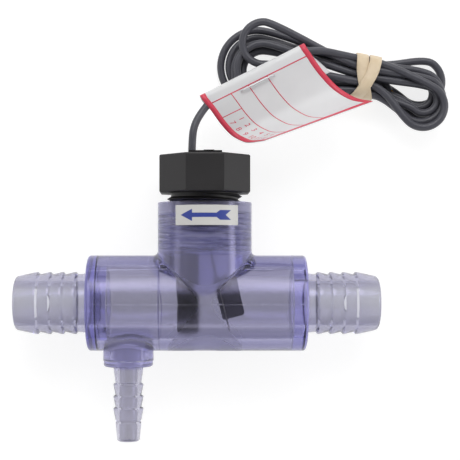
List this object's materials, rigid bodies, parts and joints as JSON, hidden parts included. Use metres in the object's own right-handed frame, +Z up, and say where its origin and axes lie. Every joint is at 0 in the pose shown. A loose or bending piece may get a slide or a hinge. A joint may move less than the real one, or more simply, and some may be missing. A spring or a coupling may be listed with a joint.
{
  "type": "paddle flow switch",
  "caption": "Clear hose-barbed tee with a black threaded plug that carries a hinged magnetic paddle, a reed switch in a well, and a coiled, banded and tagged cable.",
  "frame": {"origin": "on the resting plane, below the centre of the box round the tee, its barbs and the plug, with the cable left out", "axes": "+X along the run from the outlet barb to the inlet barb, +Y along the hub towards the plug's head, +Z up from the resting plane"},
  "size_m": [0.1541, 0.1504, 0.0334],
  "materials": {
    "clear_pvc": "injection moulded, clear with a violet-blue tint",
    "black_plastic": "moulded, fine matt",
    "black_epoxy": "poured potting compound",
    "capsule_glass": "green soft glass",
    "nickel_iron": "drawn and flattened wire",
    "core_insulation": "extruded",
    "magnet": "sintered",
    "stainless": "rolled strip and drawn pin",
    "cable_jacket": "extruded grey PVC jacket",
    "latex_band": "natural latex",
    "tag_film": "printed film, white with a red border",
    "staple_wire": "galvanised",
    "label_film": "printed film, off-white with a blue arrow"
  },
  "bodies": {
    "switch": {"tee_body": "clear_pvc", "outlet_barb": "clear_pvc", "bypass_barb": "clear_pvc", "switch_plug": "black_plastic", "potting_compound": "black_epoxy", "reed_capsule": "capsule_glass", "reed_blade_fixed": "nickel_iron", "reed_blade_moving": "nickel_iron", "conductor_a": "core_insulation", "conductor_b": "core_insulation", "return_magnet": "magnet", "hinge_pin": "stainless", "cable_lead": "cable_jacket", "cable_coil": "cable_jacket", "rubber_band": "latex_band", "rating_tag": "tag_film", "tag_staple": "staple_wire", "flow_arrow_label": "label_film"},
    "paddle": {"paddle_leaf": "stainless", "magnet_housing": "black_plastic", "leaf_clamp": "black_plastic", "paddle_magnet": "magnet"}
  },
  "joints": [
    {"name": "paddle_swing", "type": "hinge", "parent": "switch", "child": "paddle", "pos_m": [0.0026, 0.02332, 0.0167], "axis": [0, 0, -1], "range_deg": [0, 14.4], "stiffness_Nm_per_rad": 0.004, "springref_deg": -17.19}
  ]
}
